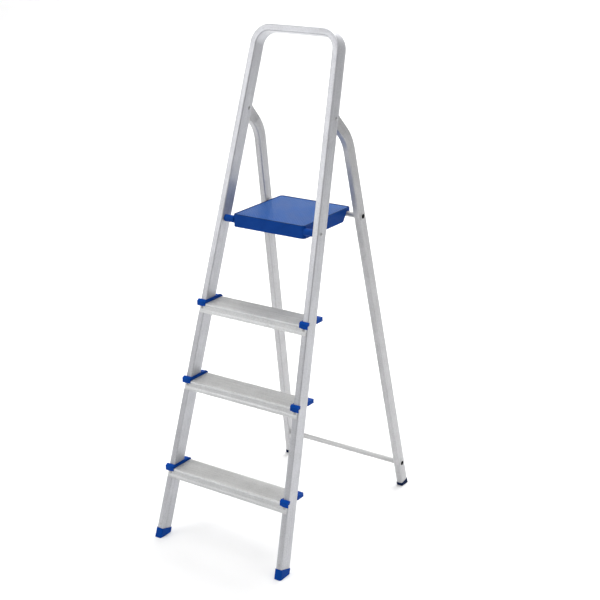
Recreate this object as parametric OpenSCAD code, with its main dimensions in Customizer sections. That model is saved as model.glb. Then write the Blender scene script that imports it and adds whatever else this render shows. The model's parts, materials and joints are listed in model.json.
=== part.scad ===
// Platform step ladder. One bent aluminium tube makes the front frame. Three extruded treads
// are riveted across it, and a moulded platform turns on two pins between its stiles. Two rear
// legs, joined by two cross rods, hang from pins inside the stiles and fold in under the treads.
// Millimetres, +Z up, the climber faces +Y, and the floor is Z = 0.

/* [Front frame] */
// Height of the top rail
frame_h = 1403; // [1380:1:1430]
// Lean of the stiles from upright, towards the back
front_lean = 17.5; // [17:0.1:18]
// Half of the width over the stiles at the floor
stile_foot_x = 219.7; // [212:0.1:228]
// Inward lean of each stile, seen from the front
splay = 3.06; // [2.8:0.01:3.3]
// Width of the stile tube, across the ladder
stile_w = 19; // [18.6:0.1:21]
// Depth of the stile tube, front to back
stile_d = 41; // [40:0.5:43]
// Wall of the stile tube
stile_wall = 1.2; // [1:0.1:1.3]
// Corner radius of the tubes
tube_corner = 3; // [2:0.1:4]
// Centre-line radius of the two top bends
top_bend_r = 48; // [40:1:55]

/* [Treads] */
// Height of the first tread
tread_1_top = 199; // [190:1:215]
// Height of the second tread
tread_2_top = 444; // [430:1:455]
// Height of the third tread
tread_3_top = 656.5; // [645:0.5:670]
// Depth of a tread, nose to rear face
tread_depth = 77; // [72:1:78]
// How far a nose stands in front of the stiles
nose_out = 7; // [6:0.5:8]
// Drop of the front flange
front_flange = 26; // [24:1:30]
// Drop of the rear flange
rear_flange = 22; // [18:1:26]
// Thickness of the tread extrusion
tread_t = 1.6; // [1.4:0.1:2]

/* [Platform] */
// Height of the platform's top face
platform_top = 900; // [890:1:910]
// Width of the platform
platform_w = 240; // [230:1:242]
// Length of the platform, front to back
platform_len = 231; // [228:1:234]
// Depth of its skirt
skirt_h = 35; // [32:1:36]
// Thickness of its walls
platform_t = 2.8; // [2.4:0.1:3.2]
// Radius of its front corners in plan
platform_corner = 10; // [8:1:18]
// Radius of its rear corners in plan
platform_rear_corner = 11; // [6:1:14]
// How far back of the stiles' front face it starts
platform_front = 4; // [3:0.5:6]
// Distance of its pivot behind the stiles' front face, level with the pivot
platform_pivot_back = 17.5; // [16:0.5:25]
// Depth of its pivot under the top face
platform_pivot_drop = 16; // [15:0.5:17]

/* [Rear legs] */
// Lean of the open rear legs from upright, towards the front
rear_lean = 10.1; // [9.8:0.1:10.4]
// Height of the pivot on the stiles
leg_pivot_z = 1174; // [1165:1:1180]
// Distance of the pivot behind the stile's front face
leg_pivot_n = 28.5; // [28:0.1:29]
// Width of the leg tube
leg_w = 19; // [18:0.1:19.5]
// Width of its necked end inside the stile
neck_w = 14.8; // [14.4:0.1:14.8]
// Depth of the leg tube
leg_d = 32; // [31:0.5:33]
// Wall of the leg tube
leg_wall = 1.2; // [1:0.1:1.5]
// Distance from the pivot to the centre line of the straight part
leg_offset = 48.4; // [48:0.1:49]
// Angle of the bend at its top
leg_bend = 32; // [31:0.5:33]
// Centre-line radius of that bend
leg_bend_r = 115; // [112:1:118]
// Diameter of the cross rods
rod_dia = 15.9; // [14:0.1:17]
// Height of the lower cross rod
brace_z = 76; // [65:1:90]

/* [Pins and feet] */
// Diameter of the pivot pins
pin_dia = 6.1; // [5.5:0.1:6.5]
// Radial play of a pin in its bore
pin_play = 0.05; // [0.03:0.01:0.08]
// Height of a front foot at its front edge
front_foot_h = 27; // [22:1:30]
// Height of a rear foot at its front edge
rear_foot_h = 8; // [6:1:10]
// How far the front feet stand proud of the tube
front_foot_proud = 2; // [1.2:0.1:2.4]
// How far the rear feet stand proud of the tube
rear_foot_proud = 1; // [0.6:0.1:1.5]

/* [Hidden] */
$fn = 64;

silver = "#c9cbcc";
steel = "#a9adb2";
blue = "#1650a8";
navy = "#12306e";

left = -1;
right = 1;
far = 2000;
skim = 0.1;
splay_k = tan(splay);
lean_k = tan(front_lean);
stile_w_level = stile_w / cos(splay);
pin_r = pin_dia / 2;
rod_r = rod_dia / 2;
rod_wall = 1.2;
flare_out = 3;
flare_t = 1.5;
plug_len = 32;
plug_gap = 0.15;
plug_cheek = 8;
rear_plug_len = 25;
rear_plug_wall = 3;

// Where the front tube ends, in the distance up the stiles.
front_foot_cut_s = front_foot_h / cos(front_lean);

// Feet meet the floor at the front and the back of the ladder's footprint.
foot_front_y = -front_foot_proud / cos(front_lean);
pivot_s = (leg_pivot_z + leg_pivot_n * sin(front_lean)) / cos(front_lean);
pivot_y = pivot_s * sin(front_lean) + leg_pivot_n * cos(front_lean);
foot_back_n = leg_offset + leg_d / 2 + rear_foot_proud;
foot_back_y = pivot_y + foot_back_n / cos(rear_lean) + leg_pivot_z * tan(rear_lean);
origin_y = -(foot_front_y + foot_back_y) / 2;

// Top rail: its outer face runs at frame_h at the front of the tube.
rail_s = frame_h / cos(front_lean);
bend_out_r = top_bend_r + stile_w / 2;
bend_swell = 0.15;
bend_lap = 2;
bend_centre_s = rail_s - bend_out_r;
bend_centre_x = stile_outer(bend_centre_s) - bend_out_r / cos(splay);
stile_top_s = bend_centre_s + top_bend_r * sin(splay);

// Rear leg path, from the pivot down: a short end, the bend, then the long straight part.
leg_end_len = (leg_offset - leg_bend_r * (1 - cos(leg_bend))) / sin(leg_bend);
leg_bend_drop = leg_bend_r * sin(leg_bend) + leg_end_len * cos(leg_bend);
leg_cut = (leg_pivot_z + (leg_offset - leg_d / 2) * sin(rear_lean) - rear_foot_h) / cos(rear_lean);
leg_x = stile_outer(pivot_s) - stile_w_level / 2;
neck_len = 49;
neck_taper = 4;
leg_tip_r = leg_d / 2 + 1;

// Slot in the stile's rear wall, which the leg swings through.
slot_below = 50;
slot_above = 14.5;
slot_w = 16.2;

// Tread section: the bead along its nose, the band along its front flange, and its grip ribs.
bead_r = 3.2;
band_z = 19.5;
band_out = 0.8;
rear_lip = 5;
tread_inset = 2;
grip_edge = 3;
grip_gap = 5.5;
grip_w = 2.2;
grip_h = 0.7;

// End caps of the treads.
cap_t = 2.6;
cap_clear = 1.5;
cap_rise = 9;
cap_drop = 9;
cap_out = 4;
cap_hook_in = 3;
cap_tip_w = 7;
cap_back_y = tread_depth - nose_out + 2;

// Platform frame: the pivot axis is its origin.
platform_axis_z = platform_top - platform_pivot_drop;
platform_axis_y = platform_axis_z * lean_k + platform_pivot_back;
platform_y0 = platform_top * lean_k + platform_front - platform_axis_y;
platform_y1 = platform_y0 + platform_len;
boss_r = 10;
boss_gap = 1.3;
support_z = platform_axis_z;
support_drop = (leg_pivot_z + leg_offset * sin(rear_lean) - support_z) / cos(rear_lean);
brace_drop = (leg_pivot_z + leg_offset * sin(rear_lean) - brace_z) / cos(rear_lean);
support_y = leg_y(leg_offset, -support_drop) - platform_axis_y;
seat_gap = 0.35;
seat_slope = 15;
seat_lip = 2;
seat_x = [-100, -35, 35, 100];
seat_t = 3;
seat_top = 5;
seat_low = 6;
seat_wall = 8;
pin_grip = 21;
rib_x = [-62, 0, 62];
rib_y = [60, 120];
rib_t = 2.4;
rib_h = 14;

// Rivets: the shank's radius, each kind's head, and how far the shank reaches inside the tube.
rivet_r = 2.4;
rivet_head_r = 4.2;
rivet_head_h = 1.6;
rivet_tail = 2;
foot_rivet_head_r = 3.6;
foot_rivet_head_h = 1.3;
foot_rivet_len = 7;
foot_rivet_up = 12;
rivet_bore_len = 16;
rivet_drop = 14;
pin_head_r = 5.5;
pin_head_h = 2.2;
platform_pin_head_r = 5;
platform_pin_head_h = 2;
pin_side_play = 0.4;

// Outer and inner faces of a stile, as half widths, at a distance s up the stile.
function stile_outer(s) = stile_foot_x - splay_k * s;
function stile_inner(s) = stile_outer(s) - stile_w_level;

// The same at a height above the floor, on the front face.
function outer_at(z) = stile_outer(z / cos(front_lean));
function inner_at(z) = stile_inner(z / cos(front_lean));

// How far back a point is that lies n behind the leg's pivot and s above it, in the leg's own plane.
function leg_y(n, s) = pivot_y + n * cos(rear_lean) - s * sin(rear_lean);

// Half width of the rear leg's outer face at a distance s above the pivot.
function leg_outer(s) = leg_x + leg_w / 2 / cos(splay) - splay_k * s;

// ---------------------------------------------------------------- shared shapes

module round_rect(w, h, r) {
    square([w - 2 * r, h], center = true);
    square([w, h - 2 * r], center = true);
    for (x = [-1, 1], y = [-1, 1])
        translate([x * (w / 2 - r), y * (h / 2 - r)]) circle(r);
}

module tube_section(w, d, wall, r) {
    difference() {
        round_rect(w, d, r);
        round_rect(w - 2 * wall, d - 2 * wall, r - wall);
    }
}

// Section of a tube where it is bent, which swells a little in the bending.
module swollen_section(w, d, wall) {
    tube_section(w + 2 * bend_swell, d + 2 * bend_swell, wall, tube_corner + bend_swell);
}

// Puts its children in the leaning plane of the front frame: Z runs up it, Y is behind it.
module in_front_frame() {
    translate([0, origin_y, 0]) rotate([-front_lean, 0, 0]) children();
}

// Puts its children in the plane of the open rear legs, with the pivot at the origin.
module in_rear_frame() {
    translate([0, origin_y + pivot_y, leg_pivot_z]) rotate([rear_lean, 0, 0]) children();
}

module on_side(side) {
    mirror([side == left ? 1 : 0, 0, 0]) children();
}

module floor_cut() {
    translate([-far / 2, -far / 2, -far]) cube([far, far, far]);
}

// A rod or pin across the ladder, from x0 to x1.
module across(x0, x1, r) {
    translate([x0, 0, 0]) rotate([0, 90, 0]) cylinder(r = r, h = x1 - x0);
}

// A low domed head, standing on Z = 0.
module dome(r, h) {
    ball_r = (r * r + h * h) / (2 * h);
    intersection() {
        translate([0, 0, h - ball_r]) sphere(ball_r);
        cylinder(r = r + 1, h = h + 1);
    }
}

// A ring of square section, standing on Z = 0.
module ring(outer, inner, h) {
    difference() {
        cylinder(r = outer, h = h);
        translate([0, 0, -1]) cylinder(r = inner, h = h + 2);
    }
}

// ---------------------------------------------------------------- front frame

// Stile of the right side, from the floor end up to the bend. Grown by g all round.
module stile_bar(s0, s1, g, wall) {
    h = (s1 - s0) / cos(splay);
    translate([stile_outer(s0) - stile_w_level / 2, stile_d / 2, s0])
        rotate([0, -splay, 0])
            linear_extrude(h)
                if (wall > 0)
                    tube_section(stile_w, stile_d, wall, tube_corner);
                else
                    round_rect(stile_w + 2 * g, stile_d + 2 * g, tube_corner + max(g, -2));
}

module top_bend() {
    translate([bend_centre_x, stile_d / 2, bend_centre_s])
        rotate([90, 0, 0])
            rotate([0, 0, splay])
                rotate_extrude(angle = 90 - splay)
                    translate([top_bend_r, 0]) swollen_section(stile_w, stile_d, stile_wall);
}

module top_rail() {
    half = bend_centre_x + bend_lap;
    translate([-half, stile_d / 2, rail_s - stile_w / 2])
        rotate([0, 90, 0])
            linear_extrude(2 * half)
                tube_section(stile_w, stile_d, stile_wall, tube_corner);
}

module front_frame() {
    color(silver) difference() {
        in_front_frame() {
            top_rail();
            for (side = [left, right]) on_side(side) {
                stile_bar(front_foot_cut_s, stile_top_s + bend_lap, 0, stile_wall);
                top_bend();
            }
        }
        for (side = [left, right]) on_side(side) {
            leg_slot();
            translate([0, origin_y + pivot_y, leg_pivot_z]) across(0, far, pin_r + pin_play);
            platform_axis() across(0, far, pin_r + pin_play);
            for (top = [tread_1_top, tread_2_top, tread_3_top])
                at_tread_rivet(top) rivet_bore();
            at_foot_rivet() rivet_bore();
        }
    }
}

module leg_slot() {
    depth = 2 * tube_corner;
    in_front_frame()
        translate([stile_outer(pivot_s) - stile_w_level / 2, stile_d - depth / 2, pivot_s])
            rotate([0, -splay, 0])
                translate([-slot_w / 2, 0, -slot_below])
                    cube([slot_w, depth, slot_below + slot_above]);
}

// ---------------------------------------------------------------- treads

// Cross-section of a tread, with Y back from the stiles' front face and Z up from the top face.
module tread_section() {
    rear_y = tread_depth - nose_out;
    skirt_y = -front_flange * lean_k;
    lip = tread_t / cos(front_lean);
    band_y = -band_z * lean_k;
    translate([-nose_out + bead_r, -tread_t]) square([tread_depth - bead_r, tread_t]);
    translate([-nose_out + bead_r, -bead_r]) circle(bead_r, $fn = 40);
    polygon([[0, 0], [-lip, 0], [skirt_y - lip, -front_flange], [skirt_y, -front_flange]]);
    polygon([
        [band_y - 1, -band_z], [band_y - lip, -band_z], [band_y - lip - band_out, -band_z - band_out],
        [skirt_y - lip - band_out, -front_flange], [skirt_y - 1, -front_flange]
    ]);
    translate([rear_y - tread_t, -rear_flange]) square([tread_t, rear_flange]);
    translate([rear_y - rear_lip, -rear_flange]) square([rear_lip, tread_t]);
    for (y = [grip_edge : grip_gap : rear_y - grip_edge])
        translate([y, -skim]) square([grip_w, grip_h + skim]);
}

// Clearance for a stile and the inner wall of its cap, through a tread.
module stile_space(top, cap_wall) {
    s0 = top / cos(front_lean);
    reach = 2 * front_flange;
    in_front_frame()
        translate([stile_inner(s0) - cap_wall, 0, s0 - reach]) cube([far, 2 * stile_d, 2 * reach]);
}

module tread(top) {
    end_x = outer_at(top) - tread_inset;
    color(silver) difference() {
        translate([0, origin_y + top * lean_k, top])
            translate([-end_x, 0, 0]) rotate([90, 0, 90]) linear_extrude(2 * end_x) tread_section();
        for (side = [left, right]) on_side(side) {
            stile_space(top, cap_t + cap_clear);
            at_tread_rivet(top) rivet_bore();
        }
    }
}

module tread_1() { tread(tread_1_top); }
module tread_2() { tread(tread_2_top); }
module tread_3() { tread(tread_3_top); }

// Plastic end cap of a tread: a wall along the inner side of the stile, a wedge that hooks over
// the nose in front of the stile, and a block that closes the tread behind the stile.
module tread_cap(side, top) {
    wall_x = inner_at(top) - cap_t - cap_clear;
    outer_x = outer_at(top) + cap_out;
    front_x = inner_at(top) + cap_hook_in;
    back_y0 = stile_d / cos(front_lean) + cap_clear;
    back_x = outer_at(top) - cap_clear;
    color(blue) on_side(side) translate([0, origin_y + top * lean_k, top]) {
        difference() {
            union() {
                translate([wall_x, 0, 0]) prism_yz(cap_wall_section(), cap_t);
                translate([wall_x, 0, 0]) prism_yz(cap_front_section(), outer_x - wall_x);
                translate([front_x, 0, 0]) prism_yz(cap_hook_section(), outer_x - front_x);
                translate([wall_x, 0, 0]) prism_yz(cap_tip_section(), cap_tip_w);
            }
            translate([wall_x - 1, tread_depth - nose_out - tread_t - 0.2, -cap_drop - 1])
                cube([cap_t + 2, tread_t + 0.2, cap_drop + 1.9]);
        }
        translate([wall_x, back_y0, -cap_drop]) cube([back_x - wall_x, cap_back_y - back_y0, cap_drop + 3]);
    }
}

// Sections of the cap, drawn back from the stile's front face and up from the tread.
function cap_wall_section() = [
    [0.5, -cap_drop], [cap_back_y, -cap_drop], [cap_back_y, 3], [cap_back_y - 9, cap_rise],
    [0.5, cap_rise]
];
function cap_front_section() = [
    [-nose_out - 1, 0.9], [0.2, 0.9], [cap_rise * lean_k - 0.1, cap_rise],
    [-2.5, cap_rise + 1.5], [-nose_out - 1, cap_rise - 2.5]
];
function cap_hook_section() = [
    [-nose_out - 0.1, -7.5], [-nose_out - 0.1, 2], [-1, cap_rise], [-3, cap_rise + 1],
    [-nose_out - 2.6, cap_rise - 3], [-nose_out - 2.6, -7.5]
];
function cap_tip_section() = [
    [-nose_out - 0.1, -6.5], [-nose_out - 0.1, 0.2], [-nose_out - 0.1, 3], [-nose_out - 1.8, 1],
    [-nose_out - 1.8, -6.5]
];

// Extrudes a Y-Z outline along X.
module prism_yz(points, length) {
    rotate([90, 0, 90]) linear_extrude(length) polygon(points);
}

module tread_1_cap_left() { tread_cap(left, tread_1_top); }
module tread_1_cap_right() { tread_cap(right, tread_1_top); }
module tread_2_cap_left() { tread_cap(left, tread_2_top); }
module tread_2_cap_right() { tread_cap(right, tread_2_top); }
module tread_3_cap_left() { tread_cap(left, tread_3_top); }
module tread_3_cap_right() { tread_cap(right, tread_3_top); }

// Seat of a rivet in the front flange, on the stile's front face, with Z towards the climber.
module at_tread_rivet(top) {
    s = (top - rivet_drop) / cos(front_lean);
    in_front_frame() translate([stile_outer(s) - stile_w * 0.6, 0, s]) rotate([90, 0, 0]) children();
}

module rivet_bore() {
    cylinder(r = rivet_r, h = rivet_bore_len, center = true);
}

// A rivet whose head lies on a sheet of thickness grip, with its tail spread inside the stile.
module rivet(grip) {
    inside = stile_wall + rivet_tail;
    translate([0, 0, grip]) dome(rivet_head_r, rivet_head_h);
    translate([0, 0, -inside]) cylinder(r = rivet_r, h = grip + inside + skim);
    translate([0, 0, -inside - 0.6]) cylinder(r = rivet_r + 0.8, h = rivet_tail + 0.5);
}

module tread_rivets() {
    color(steel)
        for (side = [left, right], top = [tread_1_top, tread_2_top, tread_3_top])
            on_side(side) at_tread_rivet(top) rivet(tread_t);
}

// ---------------------------------------------------------------- platform

module platform_axis() {
    translate([0, origin_y + platform_axis_y, platform_axis_z]) children();
}

// The platform's outline, smaller by inset all round.
module platform_plan(inset) {
    half = platform_w / 2 - inset;
    front_r = platform_corner - inset;
    rear_r = platform_rear_corner - inset;
    y0 = platform_y0 + inset;
    y1 = platform_y1 - inset;
    translate([-half, y0 + front_r]) square([2 * half, y1 - rear_r - y0 - front_r]);
    translate([-half + front_r, y0]) square([2 * (half - front_r), y1 - y0 - rear_r]);
    translate([-half + rear_r, y0 + front_r]) square([2 * (half - rear_r), y1 - y0 - front_r]);
    for (side = [-1, 1]) {
        translate([side * (half - front_r), y0 + front_r]) circle(front_r);
        translate([side * (half - rear_r), y1 - rear_r]) circle(rear_r);
    }
}

module platform() {
    top = platform_pivot_drop;
    low = top - skirt_h;
    inner_w = platform_w - 2 * platform_t;
    color(blue) platform_axis() difference() {
        union() {
            difference() {
                translate([0, 0, low]) linear_extrude(skirt_h) platform_plan(0);
                translate([0, 0, low - 1]) linear_extrude(skirt_h + 1 - platform_t)
                    platform_plan(platform_t);
            }
            for (side = [left, right]) on_side(side)
                across(platform_w / 2 - platform_t, boss_end(), boss_r);
            for (x = rib_x)
                translate([x - rib_t / 2, platform_y0 + 1, top - rib_h])
                    cube([rib_t, platform_len - 2, rib_h - 1]);
            for (y = rib_y)
                translate([-inner_w / 2 - 1, y, top - rib_h]) cube([inner_w + 2, rib_t, rib_h - 1]);
            for (x = seat_x)
                translate([x - seat_t / 2, support_y - rod_r - seat_wall, -seat_low])
                    cube([seat_t, platform_y1 - support_y + rod_r + seat_wall - 1, top + seat_top]);
        }
        translate([0, support_y, 0]) across(-far / 2, far / 2, rod_r + seat_gap);
        seat_mouth(low);
        for (side = [left, right]) on_side(side)
            across(platform_w / 2 - pin_grip - 1, far / 2, pin_r + pin_play);
    }
}

function boss_end() = inner_at(platform_axis_z) - boss_gap;

// Way out of the rod's seat: open below and behind it, and sloping forward as the rod leaves.
module seat_mouth(low) {
    front_y = support_y - rod_r - seat_gap;
    translate([-far / 2, 0, 0])
        prism_yz([
            [front_y, 0], [front_y - seat_slope, low - 1], [platform_y1 + 1, low - 1],
            [platform_y1 + 1, seat_lip], [support_y, seat_lip]
        ], far);
}

module platform_pin(side) {
    x0 = platform_w / 2 - pin_grip;
    outer_x = outer_at(platform_axis_z) + 0.6;
    color(steel) platform_axis() on_side(side) {
        across(x0, outer_x + skim, pin_r);
        translate([outer_x, 0, 0]) rotate([0, 90, 0]) dome(platform_pin_head_r, platform_pin_head_h);
    }
}

module platform_pin_left() { platform_pin(left); }
module platform_pin_right() { platform_pin(right); }

// ---------------------------------------------------------------- rear frame

// Rear leg tube in its own plane, with the pivot at the origin: a straight run, a bend, and
// an end that necks in to fit inside the stile.
module leg_tube() {
    translate([0, leg_offset, -leg_cut])
        linear_extrude(leg_cut - leg_bend_drop + bend_lap)
            tube_section(leg_w, leg_d, leg_wall, tube_corner);
    translate([0, leg_offset - leg_bend_r, -leg_bend_drop]) rotate([90, 0, 90])
        rotate_extrude(angle = leg_bend)
            translate([leg_bend_r, 0]) swollen_section(leg_d, leg_w, leg_wall);
    rotate([leg_bend, 0, 0]) difference() {
        intersection() {
            leg_end_form(0, leg_end_len + bend_lap);
            union() {
                translate([-leg_w, -leg_d, -2 * leg_end_len]) cube([2 * leg_w, 2 * leg_d, 2 * leg_end_len]);
                across(-leg_w, leg_w, leg_tip_r);
            }
        }
        leg_end_form(leg_wall, leg_end_len + 2 * bend_lap);
    }
}

// Form of the leg's necked end, g smaller all round, reaching a distance below the pivot.
module leg_end_form(g, below) {
    intersection() {
        translate([0, 0, -below])
            linear_extrude(below + leg_d) round_rect(leg_w - 2 * g, leg_d - 2 * g, tube_corner - g);
        translate([0, leg_d, 0]) rotate([90, 0, 0]) linear_extrude(2 * leg_d) neck_outline(g);
    }
}

// The neck seen along the leg's depth: wider than the tube at first, then a taper to its width.
module neck_outline(g) {
    thin = neck_w / 2 - g;
    wide = leg_w / 2 + 2 - g;
    taper_z = -neck_len - (wide - thin) * neck_taper;
    polygon([
        [-wide, -leg_end_len - leg_d], [wide, -leg_end_len - leg_d], [wide, taper_z],
        [thin, -neck_len], [thin, 2 * leg_d], [-thin, 2 * leg_d], [-thin, -neck_len], [-wide, taper_z]
    ]);
}

module rear_leg(side) {
    color(silver) on_side(side) in_rear_frame() difference() {
        translate([leg_x, 0, 0]) rotate([0, -splay, 0]) leg_tube();
        across(0, far, pin_r + pin_play);
        for (drop = [support_drop, brace_drop])
            translate([0, leg_offset, -drop]) across(0, far, rod_r + skim);
    }
}

module rear_leg_left() { rear_leg(left); }
module rear_leg_right() { rear_leg(right); }

// Tubular cross rod whose ends pass through the legs and are flared over their outer faces.
module cross_rod(drop) {
    end_x = leg_outer(-drop) + 0.4;
    color(silver) in_rear_frame() translate([0, leg_offset, -drop]) difference() {
        union() {
            across(-end_x, end_x, rod_r);
            for (side = [left, right]) on_side(side)
                translate([leg_outer(-drop), 0, 0]) rotate([0, 90 - splay, 0]) flare();
        }
        across(-far / 2, far / 2, rod_r - rod_wall);
    }
}

module flare() {
    cylinder(r = rod_r + flare_out, h = flare_t);
}

module platform_support_rod() { cross_rod(support_drop); }
module brace_rod() { cross_rod(brace_drop); }

// Rivet through both walls of a stile, which the leg turns on.
module leg_pin(side) {
    x0 = stile_inner(pivot_s) - pin_side_play;
    x1 = stile_outer(pivot_s) + pin_side_play;
    color(steel) translate([0, origin_y + pivot_y, leg_pivot_z]) on_side(side) {
        across(x0 - skim, x1 + skim, pin_r);
        translate([x1, 0, 0]) rotate([0, 90, 0]) dome(pin_head_r, pin_head_h);
        translate([x0, 0, 0]) rotate([0, -90, 0]) dome(pin_head_r, pin_head_h);
    }
}

module leg_pin_left() { leg_pin(left); }
module leg_pin_right() { leg_pin(right); }

// Spacer tube that keeps the leg's neck from closing up on the pin.
module leg_bush(side) {
    half = neck_w / 2 - leg_wall - 0.6;
    color(navy) on_side(side) in_rear_frame()
        translate([leg_x - half, 0, 0]) rotate([0, 90, 0]) ring(pin_r + 3, pin_r + pin_play, 2 * half);
}

module leg_bush_left() { leg_bush(left); }
module leg_bush_right() { leg_bush(right); }

// ---------------------------------------------------------------- feet

module front_foot(side) {
    color(blue) difference() {
        on_side(side) in_front_frame() {
            difference() {
                stile_bar(front_foot_cut_s - 60, front_foot_cut_s, front_foot_proud, 0);
                translate([0, -far / 2, front_foot_cut_s]) cube([far, far, far]);
            }
            difference() {
                stile_bar(front_foot_cut_s - 1, front_foot_cut_s + plug_len, -stile_wall - plug_gap, 0);
                translate([0, plug_cheek, front_foot_cut_s + 3])
                    cube([far, stile_d - 2 * plug_cheek, 2 * plug_len]);
            }
        }
        floor_cut();
        on_side(side) at_foot_rivet() rivet_bore();
    }
}

module front_foot_left() { front_foot(left); }
module front_foot_right() { front_foot(right); }

// Seat of the rivet that holds a front foot in its stile.
module at_foot_rivet() {
    s = front_foot_cut_s + foot_rivet_up;
    in_front_frame() translate([stile_outer(s) - stile_w_level / 2, 0, s]) rotate([90, 0, 0]) children();
}

module foot_rivets() {
    color(steel) for (side = [left, right]) on_side(side) at_foot_rivet() {
        dome(foot_rivet_head_r, foot_rivet_head_h);
        translate([0, 0, -foot_rivet_len]) cylinder(r = rivet_r, h = foot_rivet_len + skim);
    }
}

module rear_foot(side) {
    g = -leg_wall - plug_gap;
    color(navy) difference() {
        on_side(side) in_rear_frame() translate([leg_x, 0, 0]) rotate([0, -splay, 0]) {
            translate([0, leg_offset, -leg_cut - 40]) linear_extrude(40)
                round_rect(leg_w + 2 * rear_foot_proud, leg_d + 2 * rear_foot_proud, tube_corner + 1);
            translate([0, leg_offset, -leg_cut - 1]) linear_extrude(rear_plug_len + 1)
                tube_section(leg_w + 2 * g, leg_d + 2 * g, rear_plug_wall, tube_corner + 0.8);
        }
        floor_cut();
    }
}

module rear_foot_left() { rear_foot(left); }
module rear_foot_right() { rear_foot(right); }

// ---------------------------------------------------------------- nodes

front_frame();
tread_1();
tread_2();
tread_3();
tread_1_cap_left();
tread_1_cap_right();
tread_2_cap_left();
tread_2_cap_right();
tread_3_cap_left();
tread_3_cap_right();
tread_rivets();
platform();
platform_pin_left();
platform_pin_right();
rear_leg_left();
rear_leg_right();
platform_support_rod();
brace_rod();
leg_pin_left();
leg_pin_right();
leg_bush_left();
leg_bush_right();
front_foot_left();
front_foot_right();
foot_rivets();
rear_foot_left();
rear_foot_right();
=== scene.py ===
import json
import math

import bmesh
import bpy
from mathutils import Matrix, Vector


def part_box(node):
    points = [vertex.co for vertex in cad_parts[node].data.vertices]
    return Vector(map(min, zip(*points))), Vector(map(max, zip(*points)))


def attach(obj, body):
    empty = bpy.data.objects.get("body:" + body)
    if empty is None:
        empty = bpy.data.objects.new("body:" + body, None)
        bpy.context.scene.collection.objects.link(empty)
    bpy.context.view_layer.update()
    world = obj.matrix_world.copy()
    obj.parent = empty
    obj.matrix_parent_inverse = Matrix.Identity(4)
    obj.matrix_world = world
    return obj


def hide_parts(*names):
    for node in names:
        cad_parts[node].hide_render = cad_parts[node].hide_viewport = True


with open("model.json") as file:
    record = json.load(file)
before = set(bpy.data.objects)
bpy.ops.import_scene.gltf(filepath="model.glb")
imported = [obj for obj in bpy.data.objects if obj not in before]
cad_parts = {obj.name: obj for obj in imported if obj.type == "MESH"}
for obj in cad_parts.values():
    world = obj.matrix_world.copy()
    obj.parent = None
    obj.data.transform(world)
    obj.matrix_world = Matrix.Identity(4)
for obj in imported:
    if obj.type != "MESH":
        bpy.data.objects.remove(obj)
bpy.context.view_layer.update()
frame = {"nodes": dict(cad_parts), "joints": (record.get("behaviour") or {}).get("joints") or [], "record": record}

# ---------------------------------------------------------------- sizes, in metres and radians

MM = 0.001
LEAN = math.radians(17.5)
SPLAY = math.radians(3.06)
REAR_LEAN = math.radians(10.1)
STILE_W, STILE_D = 19 * MM, 41 * MM
LEG_W, LEG_D = 19 * MM, 32 * MM
TUBE_CORNER = 3 * MM
STILE_FOOT_X = 219.7 * MM
FRAME_H = 1403 * MM
TOP_BEND_R = 48 * MM
LEG_OFFSET = 48.4 * MM
LEG_BEND, LEG_BEND_R = math.radians(32), 115 * MM
PIVOT_Y, PIVOT_Z = frame["joints"][0]["pos_m"][1], frame["joints"][0]["pos_m"][2]
PIVOT_N = 28.5 * MM

STILE_W_LEVEL = STILE_W / math.cos(SPLAY)
PIVOT_S = (PIVOT_Z + PIVOT_N * math.sin(LEAN)) / math.cos(LEAN)
ORIGIN_Y = PIVOT_Y - PIVOT_S * math.sin(LEAN) - PIVOT_N * math.cos(LEAN)
BEND_OUT_R = TOP_BEND_R + STILE_W / 2
BEND_S = FRAME_H / math.cos(LEAN) - BEND_OUT_R


def stile_outer(s):
    """Half width over the stiles at a distance s up them."""
    return STILE_FOOT_X - math.tan(SPLAY) * s


BEND_X = stile_outer(BEND_S) - BEND_OUT_R / math.cos(SPLAY)
LEG_X = stile_outer(PIVOT_S) - STILE_W_LEVEL / 2
LEG_END = (LEG_OFFSET - LEG_BEND_R * (1 - math.cos(LEG_BEND))) / math.sin(LEG_BEND)
LEG_DROP = LEG_BEND_R * math.sin(LEG_BEND) + LEG_END * math.cos(LEG_BEND)
ROUND = 1.37  # share of a tube's depth in the distance round it
LEGS_APART = 3.0  # keeps the two legs' textures different
BEND_EDGE = 0.0005  # radians that a bend may run past its ends
LEAST_STEP, MOST_STEP = 0.03 * MM, 0.3 * MM  # how far outside the outline a swollen point lies


def in_front_frame(p):
    """A point's half width, its distance behind the stiles' front face and its distance up them."""
    y = p.y - ORIGIN_Y
    return abs(p.x), y * math.cos(LEAN) - p.z * math.sin(LEAN), y * math.sin(LEAN) + p.z * math.cos(LEAN)


def in_leg_frame(p):
    """The same point's distance across a rear leg, behind its pivot and up along the leg."""
    y, z = p.y - PIVOT_Y, p.z - PIVOT_Z
    n = y * math.cos(REAR_LEAN) + z * math.sin(REAR_LEAN)
    s = -y * math.sin(REAR_LEAN) + z * math.cos(REAR_LEAN)
    x = abs(p.x) - LEG_X
    return x * math.cos(SPLAY) + s * math.sin(SPLAY), n, -x * math.sin(SPLAY) + s * math.cos(SPLAY)


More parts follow.
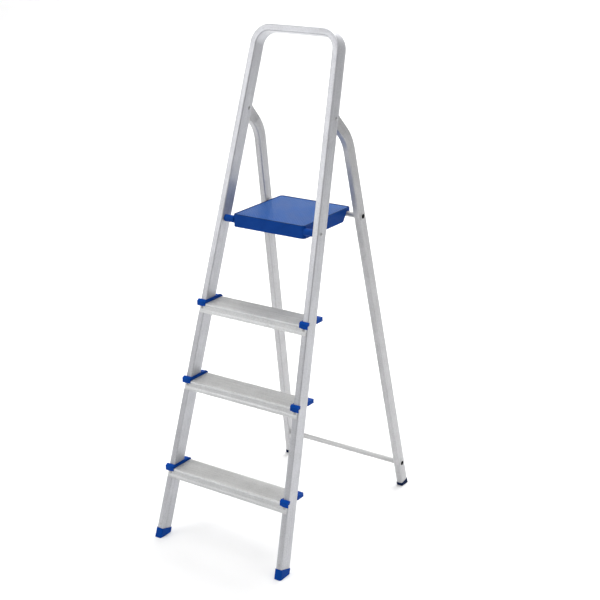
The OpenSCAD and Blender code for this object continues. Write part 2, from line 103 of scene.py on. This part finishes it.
def front_uv(p):
    """Distance round and along the front tube, for a point on it."""
    x, n, s = in_front_frame(p)
    straight = (BEND_S + TOP_BEND_R * math.sin(SPLAY)) / math.cos(SPLAY)
    bent = TOP_BEND_R * (math.pi / 2 - SPLAY)
    phi = math.atan2(s - BEND_S, x - BEND_X)
    if x < BEND_X and s > BEND_S:
        across, along = s - BEND_S - TOP_BEND_R, straight + bent + BEND_X - x
    elif s > BEND_S and phi > SPLAY:
        across = math.hypot(s - BEND_S, x - BEND_X) - TOP_BEND_R
        along = straight + TOP_BEND_R * (phi - SPLAY)
    else:
        across = (x - stile_outer(s) + STILE_W_LEVEL / 2) * math.cos(SPLAY)
        along = s / math.cos(SPLAY)
    if p.x < 0:
        along = 2 * (straight + bent + BEND_X) - along
    return across + ROUND * n, along


def leg_uv(p):
    """Distance round and along a rear leg's tube, for a point on it."""
    across, n, h = in_leg_frame(p)
    phi = math.atan2(h + LEG_DROP, n - LEG_OFFSET + LEG_BEND_R)
    if h < -LEG_DROP:
        depth, along = n - LEG_OFFSET, h
    elif phi < LEG_BEND:
        depth = math.hypot(h + LEG_DROP, n - LEG_OFFSET + LEG_BEND_R) - LEG_BEND_R
        along = -LEG_DROP + LEG_BEND_R * phi
    else:
        depth = n * math.cos(LEG_BEND) + h * math.sin(LEG_BEND)
        along = LEG_BEND_R * LEG_BEND - LEG_DROP + LEG_END - n * math.sin(LEG_BEND) + h * math.cos(LEG_BEND)
    return across + ROUND * depth, along + math.copysign(LEGS_APART, p.x)


def swell_step(across, depth, half_w, half_d):
    """How far a point of a tube's section lies outside its nominal outline, and the way out."""
    qx, qy = abs(across) - half_w + TUBE_CORNER, abs(depth) - half_d + TUBE_CORNER
    if qx > 0 and qy > 0:
        length = math.hypot(qx, qy)
        out, extra = (qx / length, qy / length), length - TUBE_CORNER
    elif qx > qy:
        out, extra = (1, 0), qx - TUBE_CORNER
    else:
        out, extra = (0, 1), qy - TUBE_CORNER
    return extra, math.copysign(out[0], across), math.copysign(out[1], depth)


def ease_front(p):
    """Brings a point of the front tube's swollen bends onto the straight runs' outline."""
    x, n, s = in_front_frame(p)
    phi = math.atan2(s - BEND_S, x - BEND_X)
    if not SPLAY - BEND_EDGE < phi < math.pi / 2 + BEND_EDGE:
        return p
    across = math.hypot(s - BEND_S, x - BEND_X) - TOP_BEND_R
    extra, a, d = swell_step(across, n - STILE_D / 2, STILE_W / 2, STILE_D / 2)
    if not LEAST_STEP < extra < MOST_STEP:
        return p
    x -= extra * a * math.cos(phi)
    s -= extra * a * math.sin(phi)
    n -= extra * d
    return Vector((math.copysign(x, p.x), ORIGIN_Y + n * math.cos(LEAN) + s * math.sin(LEAN),
                   s * math.cos(LEAN) - n * math.sin(LEAN)))


def ease_leg(p):
    """Brings a point of a rear leg's swollen bend onto the straight runs' outline."""
    across, n, h = in_leg_frame(p)
    phi = math.atan2(h + LEG_DROP, n - LEG_OFFSET + LEG_BEND_R)
    if not -BEND_EDGE < phi < LEG_BEND + BEND_EDGE:
        return p
    depth = math.hypot(h + LEG_DROP, n - LEG_OFFSET + LEG_BEND_R) - LEG_BEND_R
    extra, a, d = swell_step(across, depth, LEG_W / 2, LEG_D / 2)
    if not LEAST_STEP < extra < MOST_STEP:
        return p
    across -= extra * a
    n -= extra * d * math.cos(phi)
    h -= extra * d * math.sin(phi)
    x = across * math.cos(SPLAY) - h * math.sin(SPLAY)
    s = across * math.sin(SPLAY) + h * math.cos(SPLAY)
    return Vector((math.copysign(x + LEG_X, p.x),
                   PIVOT_Y + n * math.cos(REAR_LEAN) - s * math.sin(REAR_LEAN),
                   PIVOT_Z + n * math.sin(REAR_LEAN) + s * math.cos(REAR_LEAN)))


# ---------------------------------------------------------------- node materials

def new_material(name):
    mat = bpy.data.materials.new(name)
    mat.use_nodes = True
    nodes, links = mat.node_tree.nodes, mat.node_tree.links
    bsdf = next(n for n in nodes if n.type == "BSDF_PRINCIPLED")
    return mat, nodes, links, bsdf


def noise(nodes, links, vector, scale, detail, rough=0.55):
    n = nodes.new("ShaderNodeTexNoise")
    n.inputs["Scale"].default_value = scale
    n.inputs["Detail"].default_value = detail
    n.inputs["Roughness"].default_value = rough
    links.new(vector, n.inputs["Vector"])
    return n.outputs["Fac"]


def ramp(nodes, links, fac, stops):
    r = nodes.new("ShaderNodeValToRGB")
    els = r.color_ramp.elements
    while len(els) < len(stops):
        els.new(0.5)
    for e, (pos, col) in zip(els, stops):
        e.position = pos
        e.color = (*col, 1)
    links.new(fac, r.inputs["Fac"])
    return r.outputs["Color"]


def map_range(nodes, links, fac, a, b, low, high):
    m = nodes.new("ShaderNodeMapRange")
    m.inputs["From Min"].default_value = low
    m.inputs["From Max"].default_value = high
    m.inputs["To Min"].default_value = a
    m.inputs["To Max"].default_value = b
    links.new(fac, m.inputs["Value"])
    return m.outputs["Result"]


def mix(nodes, links, a, b, share):
    """Blend of two values, with a share of the second."""
    m = nodes.new("ShaderNodeMix")
    m.data_type = "FLOAT"
    m.inputs["Factor"].default_value = share
    links.new(a, m.inputs[2])
    links.new(b, m.inputs[3])
    return m.outputs[0]


def bump(nodes, links, height, strength, distance, normal=None):
    b = nodes.new("ShaderNodeBump")
    b.inputs["Strength"].default_value = strength
    b.inputs["Distance"].default_value = distance
    links.new(height, b.inputs["Height"])
    if normal is not None:
        links.new(normal, b.inputs["Normal"])
    return b.outputs["Normal"]


def place(nodes, links, source, scale=(1, 1, 1)):
    """Coordinates of the surface, stretched."""
    tc = nodes.new("ShaderNodeTexCoord")
    m = nodes.new("ShaderNodeMapping")
    m.inputs["Scale"].default_value = scale
    links.new(tc.outputs[source], m.inputs["Vector"])
    return m.outputs["Vector"]


def aluminium(name, source, along, colour, rough=(0.30, 0.42), metallic=0.5, streak=0.09):
    """Drawn aluminium: lines and bands along one axis, soft cloudy dulling and fine specks."""
    mat, nodes, links, bsdf = new_material(name)
    fine, coarse = [700.0] * 3, [150.0] * 3
    fine[along], coarse[along] = 5.0, 2.5
    lines = noise(nodes, links, place(nodes, links, source, fine), 1.0, 3.0, 0.6)
    bands = noise(nodes, links, place(nodes, links, source, coarse), 1.0, 2.0, 0.5)
    cloud = noise(nodes, links, place(nodes, links, "Object"), 22.0, 5.0, 0.6)
    both = mix(nodes, links, lines, bands, 0.45)
    speck = noise(nodes, links, place(nodes, links, "Object"), 330.0, 2.0, 0.6)
    worn = mix(nodes, links, both, cloud, 0.3)
    mixed = mix(nodes, links, worn, speck, 0.35)
    dark = tuple(c * (1 - 2.4 * streak) for c in colour)
    light = tuple(min(1.0, c * (1 + 1.6 * streak)) for c in colour)
    tint = ramp(nodes, links, mixed, [(0.38, dark), (0.5, colour), (0.62, light)])
    links.new(tint, bsdf.inputs["Base Color"])
    links.new(map_range(nodes, links, mixed, rough[1], rough[0], 0.3, 0.7), bsdf.inputs["Roughness"])
    links.new(bump(nodes, links, lines, 0.10, 0.0002), bsdf.inputs["Normal"])
    bsdf.inputs["Metallic"].default_value = metallic
    bsdf.inputs["Anisotropic"].default_value = 0.35
    return mat


GRAIN_SCALE = 1400.0


def plastic(name, colour, rough=0.42, grain=0.12, spread=0.06, shine=0.08):
    """Moulded plastic: fine spark-eroded grain, slight unevenness in tone and gloss."""
    mat, nodes, links, bsdf = new_material(name)
    coords = place(nodes, links, "Object")
    cloud = noise(nodes, links, coords, 28.0, 4.0, 0.55)
    fine = noise(nodes, links, coords, GRAIN_SCALE, 2.0, 0.5)
    waves = noise(nodes, links, coords, 9.0, 2.0, 0.4)
    dark = tuple(c * (1 - 1.8 * spread) for c in colour)
    light = tuple(min(1.0, c * (1 + 1.4 * spread) + 0.001) for c in colour)
    tint = ramp(nodes, links, cloud, [(0.3, dark), (0.5, colour), (0.72, light)])
    links.new(tint, bsdf.inputs["Base Color"])
    both = mix(nodes, links, cloud, fine, 0.4)
    links.new(map_range(nodes, links, both, rough - 0.07, rough + 0.09, 0.3, 0.7), bsdf.inputs["Roughness"])
    first = bump(nodes, links, waves, 0.05, 0.002)
    links.new(bump(nodes, links, fine, grain, 0.0003, first), bsdf.inputs["Normal"])
    bsdf.inputs["IOR"].default_value = 1.46
    bsdf.inputs["Specular IOR Level"].default_value = shine
    return mat


tube_mat = aluminium("tube_aluminium", "UV", 1, (0.50, 0.505, 0.53))
leg_mat = aluminium("leg_aluminium", "UV", 1, (0.47, 0.47, 0.48))
# Treads use a lit and a shaded copy of one aluminium. The brighter copy is painted light for the nose and front
# flange. The darker copy is painted shade on the tread tops.
tread_lit_mat = aluminium("tread_aluminium", "Object", 0, (0.60, 0.605, 0.61), (0.34, 0.48))
tread_top_shaded_mat = aluminium("tread_top_shaded_aluminium", "Object", 0, (0.52, 0.52, 0.515), (0.42, 0.56), streak=0.08)
rod_mat = aluminium("rod_aluminium", "Object", 0, (0.48, 0.48, 0.48), (0.28, 0.4))
pin_mat = aluminium("pin_steel", "Object", 2, (0.42, 0.42, 0.43), (0.25, 0.38), 0.8)
blue_mat = plastic("blue_plastic", (0.001, 0.052, 0.31), shine=0.05)
navy_mat = plastic("navy_plastic", (0.001, 0.010, 0.050), 0.5, shine=0.05)
platform_mat = plastic("platform_plastic", (0.001, 0.046, 0.26), 0.40, 0.20, 0.05)
# The platform's top is a lighter, greyer copy of its blue. This is painted sheen, and the grip ribs use it too.
platform_top_sheen_mat = plastic("platform_top_painted_sheen_plastic", (0.008, 0.066, 0.25), 0.36, 0.20, 0.08, 0.10)
edge_mat = plastic("platform_edge_plastic", (0.001, 0.014, 0.08), 0.45, 0.15, 0.05, 0.05)
# Near-black painted shade for the inside of the hollow rods.
bore_shade_mat = plastic("rod_bore_painted_shade", (0.015, 0.015, 0.017), 0.7, shine=0.05)

# ---------------------------------------------------------------- mesh helpers


def finish_mesh(bm, name, mat, body, smooth=35):
    """Object made of a bmesh, riding on a body, with edges sharper than smooth degrees kept sharp."""
    bmesh.ops.remove_doubles(bm, verts=bm.verts, dist=1e-6)
    bmesh.ops.recalc_face_normals(bm, faces=bm.faces)
    mesh = bpy.data.meshes.new(name)
    bm.to_mesh(mesh)
    bm.free()
    mesh.materials.append(mat)
    obj = bpy.data.objects.new(name, mesh)
    bpy.context.scene.collection.objects.link(obj)
    for p in mesh.polygons:
        p.use_smooth = True
    mesh.set_sharp_from_angle(angle=math.radians(smooth))
    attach(obj, body)
    return obj


def add_uv(mesh, uv):
    """Writes a tube's own coordinates, given by uv, to the corners of its mesh."""
    layer = mesh.uv_layers[0] if mesh.uv_layers else mesh.uv_layers.new(name="tube")
    for loop in mesh.loops:
        layer.data[loop.index].uv = uv(mesh.vertices[loop.vertex_index].co)


FLAT_ANGLE = math.radians(0.6)
BEVEL_FROM_ANGLE = math.radians(32)


def refine(node, mat, body, bevel, uv=None, ease=None):
    """Piece with a CAD node's shape: triangles merged into whole faces, edges rounded by bevel."""
    source = frame["nodes"][node]
    bm = bmesh.new()
    bm.from_mesh(source.data)
    if ease:
        for v in bm.verts:
            v.co = ease(v.co)
    bmesh.ops.remove_doubles(bm, verts=bm.verts, dist=2e-5 if ease else 2e-6)
    bmesh.ops.dissolve_limit(bm, angle_limit=FLAT_ANGLE, verts=bm.verts, edges=bm.edges, delimit={"NORMAL"})
    obj = finish_mesh(bm, node + "_piece", mat, body)
    if uv:
        add_uv(obj.data, uv)
    if bevel:
        m = obj.modifiers.new("bevel", "BEVEL")
        m.width = bevel
        m.segments = 3
        m.limit_method = "ANGLE"
        m.angle_limit = BEVEL_FROM_ANGLE
        m.use_clamp_overlap = True
        m.harden_normals = True
        m.miter_outer = "MITER_ARC"
    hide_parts(node)
    return obj


# ---------------------------------------------------------------- pieces

BODY_OF = {n: b for b, names in frame["record"]["behaviour"]["bodies"].items() for n in names}
TREAD_SKIN = 1.2 * MM  # how far under a tread's highest point its top faces may lie
NOSE = 6 * MM  # how far back from a tread's front its nose bead reaches
PLATFORM_SKIN = 0.5 * MM
BORE_DEPTH = 0.2 * MM


def paint_faces(piece, mat, chosen):
    """Gives a second material to the faces that a test picks out."""
    piece.data.materials.append(mat)
    for p in piece.data.polygons:
        if chosen(p):
            p.material_index = 1


def faces_in(p, axis):
    """True of a face that looks towards a line through axis along X."""
    out = p.center - axis
    return p.normal.y * out.y + p.normal.z * out.z < -BORE_DEPTH


for n in sorted(frame["nodes"]):
    body = BODY_OF[n]
    if n == "front_frame":
        refine(n, tube_mat, body, 0, uv=front_uv, ease=ease_front)
    elif n.startswith("rear_leg"):
        refine(n, leg_mat, body, 0, uv=leg_uv, ease=ease_leg)
    elif n in ("platform_support_rod", "brace_rod"):
        rod = refine(n, rod_mat, body, 0.4 * MM)
        low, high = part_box(n)
        # Faces inside the rod's bore get near-black paint: painted shade.
        paint_faces(rod, bore_shade_mat, lambda p: faces_in(p, (low + high) / 2))
    elif n == "platform":
        skin = refine(n, platform_mat, body, 1.2 * MM)
        top_z = max(v.co.z for v in skin.data.vertices)
        # Top faces get the lighter copy of the blue, a painted sheen.
        paint_faces(skin, platform_top_sheen_mat, lambda p: p.center.z > top_z - PLATFORM_SKIN)
    elif "cap" in n:
        refine(n, blue_mat, body, 1.1 * MM)
    elif n.startswith("tread_") and "rivets" not in n:
        tread = refine(n, tread_lit_mat, body, 0.25 * MM)
        top_z = max(v.co.z for v in tread.data.vertices)
        nose_y = min(v.co.y for v in tread.data.vertices)
        # Painted shade: the tread's top faces get the darker copy, and the rest keep the brighter, painted-light
        # copy.
        paint_faces(tread, tread_top_shaded_mat,
                    lambda p: p.center.z > top_z - TREAD_SKIN and p.center.y > nose_y + NOSE)
    elif n.startswith("front_foot"):
        refine(n, blue_mat, body, 1.4 * MM)
    elif n.startswith("rear_foot"):
        refine(n, navy_mat, body, 1.0 * MM)
    else:  # rivets, pins and the bushes inside the legs
        refine(n, pin_mat, body, 0)

# ---------------------------------------------------------------- platform's top

low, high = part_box("platform")
TOP_Z = high.z
HALF_W = 120 * MM
PLATFORM_LEN = 231 * MM
FRONT_Y = high.y - PLATFORM_LEN
REAR_Y = high.y
FRONT_R, REAR_R = 10 * MM, 11 * MM
ARC_STEPS = 8


def platform_outline(inset):
    """Points round the platform's edge, smaller by inset."""
    half, y0, y1 = HALF_W - inset, FRONT_Y + inset, REAR_Y - inset
    points = []
    for cx, cy, r, start in ((half, y0, FRONT_R, -90), (half, y1, REAR_R, 0),
                             (-half, y1, REAR_R, 90), (-half, y0, FRONT_R, 180)):
        r = max(r - inset, 1 * MM)
        mx = cx - math.copysign(r, cx)
        my = cy + (r if cy == y0 else -r)
        for k in range(ARC_STEPS + 1):
            a = math.radians(start + 90 * k / ARC_STEPS)
            points.append((mx + r * math.cos(a), my + r * math.sin(a)))
    return points


# Section of the raised lip: in from the edge and up from the top face, in millimetres.
bm = bmesh.new()
LIP = [(0.9, -0.4), (1.1, 0.8), (1.7, 1.3), (3.2, 1.3), (3.8, 0.8), (4.0, -0.4)]
loops = []
for inset, z in LIP:
    loops.append([bm.verts.new((x, y, TOP_Z + z * MM)) for x, y in platform_outline(inset * MM)])
count = len(loops[0])
for i in range(len(loops)):
    a, b = loops[i], loops[(i + 1) % len(loops)]
    for k in range(count):
        bm.faces.new((a[k], a[(k + 1) % count], b[(k + 1) % count], b[k]))
finish_mesh(bm, "platform_lip", edge_mat, "platform_body", 50)

# Anti-slip ribs, low bars at 45 degrees inside the lip. The section of a bar is in shares of its
# width and height, and its ends slope in.
bm = bmesh.new()
RIB_PITCH, RIB_W, RIB_H, MARGIN = 6.5 * MM, 2.0 * MM, 0.8 * MM, 9 * MM
LEAST_RUN = 6 * MM
END_SLOPE = 1.2
RIB_SECTION = ((-0.5, -0.3), (-0.36, 0.8), (-0.15, 1), (0.15, 1), (0.36, 0.8), (0.5, -0.3))
x_max, y_min, y_max = HALF_W - MARGIN, FRONT_Y + MARGIN, REAR_Y - MARGIN
root2 = math.sqrt(2)
steps = int((2 * x_max + y_max - y_min) / (RIB_PITCH * root2))
for k in range(1, steps + 1):
    c = -x_max + y_min + k * RIB_PITCH * root2
    x0, x1 = max(-x_max, c - y_max), min(x_max, c - y_min)
    if x1 - x0 < LEAST_RUN:
        continue
    start, end = Vector((x0, c - x0, TOP_Z)), Vector((x1, c - x1, TOP_Z))
    along = (end - start).normalized()
    out = Vector((-along.y, along.x, 0))
    rows = []
    for end_point, pull in ((start, 1), (end, -1)):
        ring = []
        for across, h in RIB_SECTION:
            lean_in = along * pull * RIB_H * max(h, 0) * END_SLOPE
            ring.append(bm.verts.new(end_point + out * across * RIB_W + Vector((0, 0, h * RIB_H)) + lean_in))
        rows.append(ring)
    for i in range(len(RIB_SECTION)):
        after = (i + 1) % len(RIB_SECTION)
        bm.faces.new((rows[0][i], rows[1][i], rows[1][after], rows[0][after]))
    bm.faces.new(rows[0])
    bm.faces.new(rows[1][::-1])
# The grip ribs take the platform top's painted sheen.
finish_mesh(bm, "platform_grip", platform_top_sheen_mat, "platform_body", 50)

# ---------------------------------------------------------------- floor, light, camera

floor_mat, nodes, links, bsdf = new_material("floor")
coords = place(nodes, links, "Object")
tone = noise(nodes, links, coords, 3.0, 2.0)
pale = ramp(nodes, links, tone, [(0.3, (0.90, 0.90, 0.90)), (0.7, (0.93, 0.93, 0.93))])
links.new(pale, bsdf.inputs["Base Color"])
bsdf.inputs["Roughness"].default_value = 0.9
bsdf.inputs["Specular IOR Level"].default_value = 0.1
bm = bmesh.new()
SWEEP_R, FLOOR_HALF, WALL_Y, WALL_H = 1.5, 9.0, 6.0, 8.0
SWEEP_STEPS = 24
FLOOR_TURN = math.radians(35)
profile = [(-FLOOR_HALF, 0.0), (WALL_Y - SWEEP_R, 0.0)]
for k in range(1, SWEEP_STEPS + 1):
    a = math.radians(90) * k / SWEEP_STEPS
    profile.append((WALL_Y - SWEEP_R + SWEEP_R * math.sin(a), SWEEP_R - SWEEP_R * math.cos(a)))
profile.append((WALL_Y, WALL_H))
rows = [[bm.verts.new((x, y, z)) for y, z in profile] for x in (-FLOOR_HALF, FLOOR_HALF)]
for i in range(len(profile) - 1):
    bm.faces.new((rows[0][i], rows[1][i], rows[1][i + 1], rows[0][i + 1]))
mesh = bpy.data.meshes.new("floor")
bm.to_mesh(mesh)
bm.free()
mesh.materials.append(floor_mat)
for p in mesh.polygons:
    p.use_smooth = True
floor = bpy.data.objects.new("floor", mesh)
bpy.context.scene.collection.objects.link(floor)
floor.rotation_euler = (0, 0, FLOOR_TURN)

WORLD_STRENGTH = 0.45
world = bpy.data.worlds.new("studio")
bpy.context.scene.world = world
world.use_nodes = True
background = world.node_tree.nodes["Background"]
background.inputs["Color"].default_value = (1.0, 1.0, 1.0, 1)
background.inputs["Strength"].default_value = WORLD_STRENGTH


def area_light(name, position, target, size, energy):
    data = bpy.data.lights.new(name, "AREA")
    data.shape = "RECTANGLE"
    data.size, data.size_y = size
    data.energy = energy
    obj = bpy.data.objects.new(name, data)
    bpy.context.scene.collection.objects.link(obj)
    obj.location = position
    obj.rotation_euler = (Vector(target) - Vector(position)).to_track_quat("-Z", "Y").to_euler()


area_light("key", (-2.6, -3.6, 2.6), (0, 0, 0.7), (2.4, 2.4), 46)
area_light("top", (0.3, 0.6, 4.4), (0, 0, 0), (3.6, 3.6), 140)
area_light("back", (-0.6, 3.6, 4.2), (-1.2, 3.6, 0.4), (4.5, 2.5), 190)
bpy.context.scene.view_settings.view_transform = "Standard"

CAM_POS = Vector((2.0765, -2.8378, 1.9164))
CAM_YAW, CAM_PITCH, CAM_ROLL = math.radians(35.302), math.radians(19.740), math.radians(-1.304)
CAM_LENS = 80.0502
fwd = Vector((-math.sin(CAM_YAW) * math.cos(CAM_PITCH), math.cos(CAM_YAW) * math.cos(CAM_PITCH),
              -math.sin(CAM_PITCH)))
side = Vector((math.cos(CAM_YAW), math.sin(CAM_YAW), 0))
up = side.cross(fwd)
cam_x = side * math.cos(CAM_ROLL) + up * math.sin(CAM_ROLL)
cam_y = -side * math.sin(CAM_ROLL) + up * math.cos(CAM_ROLL)
cam_data = bpy.data.cameras.new("camera")
cam_data.sensor_width = 36
cam_data.lens = CAM_LENS
cam = bpy.data.objects.new("camera", cam_data)
bpy.context.scene.collection.objects.link(cam)
turn = Matrix((cam_x, cam_y, -fwd)).transposed().to_4x4()
cam.matrix_world = Matrix.Translation(CAM_POS) @ turn
bpy.context.scene.camera = cam
